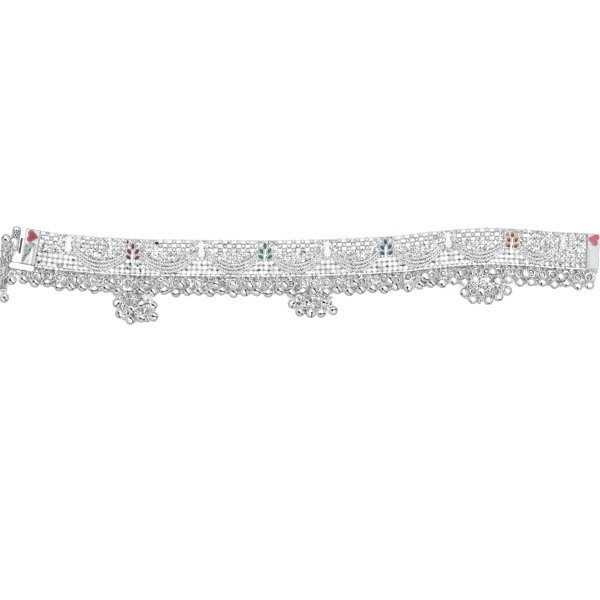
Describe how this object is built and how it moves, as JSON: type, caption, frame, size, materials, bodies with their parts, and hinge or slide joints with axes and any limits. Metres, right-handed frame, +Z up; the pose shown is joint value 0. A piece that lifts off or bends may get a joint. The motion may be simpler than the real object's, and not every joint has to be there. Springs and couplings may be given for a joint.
{
  "type": "ghungroo payal anklet",
  "caption": "Broad silver link-mesh anklet lying open, with enamel leaf motifs, a fringe and bunches of small bells, heart plates and a box clasp.",
  "frame": {"origin": "middle of the object's box, on the surface that it lies on", "axes": "+X along the band from the clasp box to the tongue, +Y across the band away from the bells, +Z up out of the face"},
  "size_m": [0.2695, 0.0434, 0.0066],
  "materials": {
    "link_silver": "small bright-cut silver links",
    "plate_silver": "smooth rolled silver plate, lightly brushed",
    "bell_silver": "polished stamped silver",
    "frosted_silver": "frosted white silver",
    "heart_enamel": "translucent rose-red enamel",
    "red_enamel": "red enamel shading to orange tips",
    "green_enamel": "green enamel",
    "blue_enamel": "blue enamel shading to light blue tips",
    "orange_enamel": "orange enamel shading to dark red hearts"
  },
  "bodies": {
    "root": {"mesh_band": "link_silver", "end_plate_left": "plate_silver", "knurled_grip": "plate_silver", "end_plate_right": "plate_silver", "clasp_tongue": "plate_silver", "heart_left": "heart_enamel", "heart_right": "heart_enamel", "leaf_motif_red": "red_enamel", "leaf_motif_green": "green_enamel", "leaf_motif_blue": "blue_enamel", "leaf_motif_orange": "orange_enamel", "safety_chain": "link_silver", "white_motif_1": "frosted_silver", "white_motif_2": "frosted_silver", "white_motif_3": "frosted_silver", "white_motif_4": "frosted_silver", "white_motif_5": "frosted_silver", "fringe_1": "bell_silver", "fringe_2": "bell_silver", "fringe_3": "bell_silver", "fringe_4": "bell_silver", "bunch_chain_1": "link_silver", "bunch_chain_2": "link_silver", "bunch_chain_3": "link_silver", "bell_1": "bell_silver", "bell_2": "bell_silver", "bell_3": "bell_silver", "bell_4": "bell_silver", "bell_5": "bell_silver", "bell_6": "bell_silver", "bell_7": "bell_silver", "bell_8": "bell_silver", "bell_9": "bell_silver", "bell_10": "bell_silver", "bell_11": "bell_silver", "bell_12": "bell_silver", "bell_13": "bell_silver", "bell_14": "bell_silver", "bell_15": "bell_silver", "bell_16": "bell_silver", "bell_17": "bell_silver", "bell_18": "bell_silver", "bell_19": "bell_silver", "bell_20": "bell_silver", "bell_21": "bell_silver", "bell_22": "bell_silver", "bell_23": "bell_silver", "bell_24": "bell_silver"}
  },
  "joints": []
}
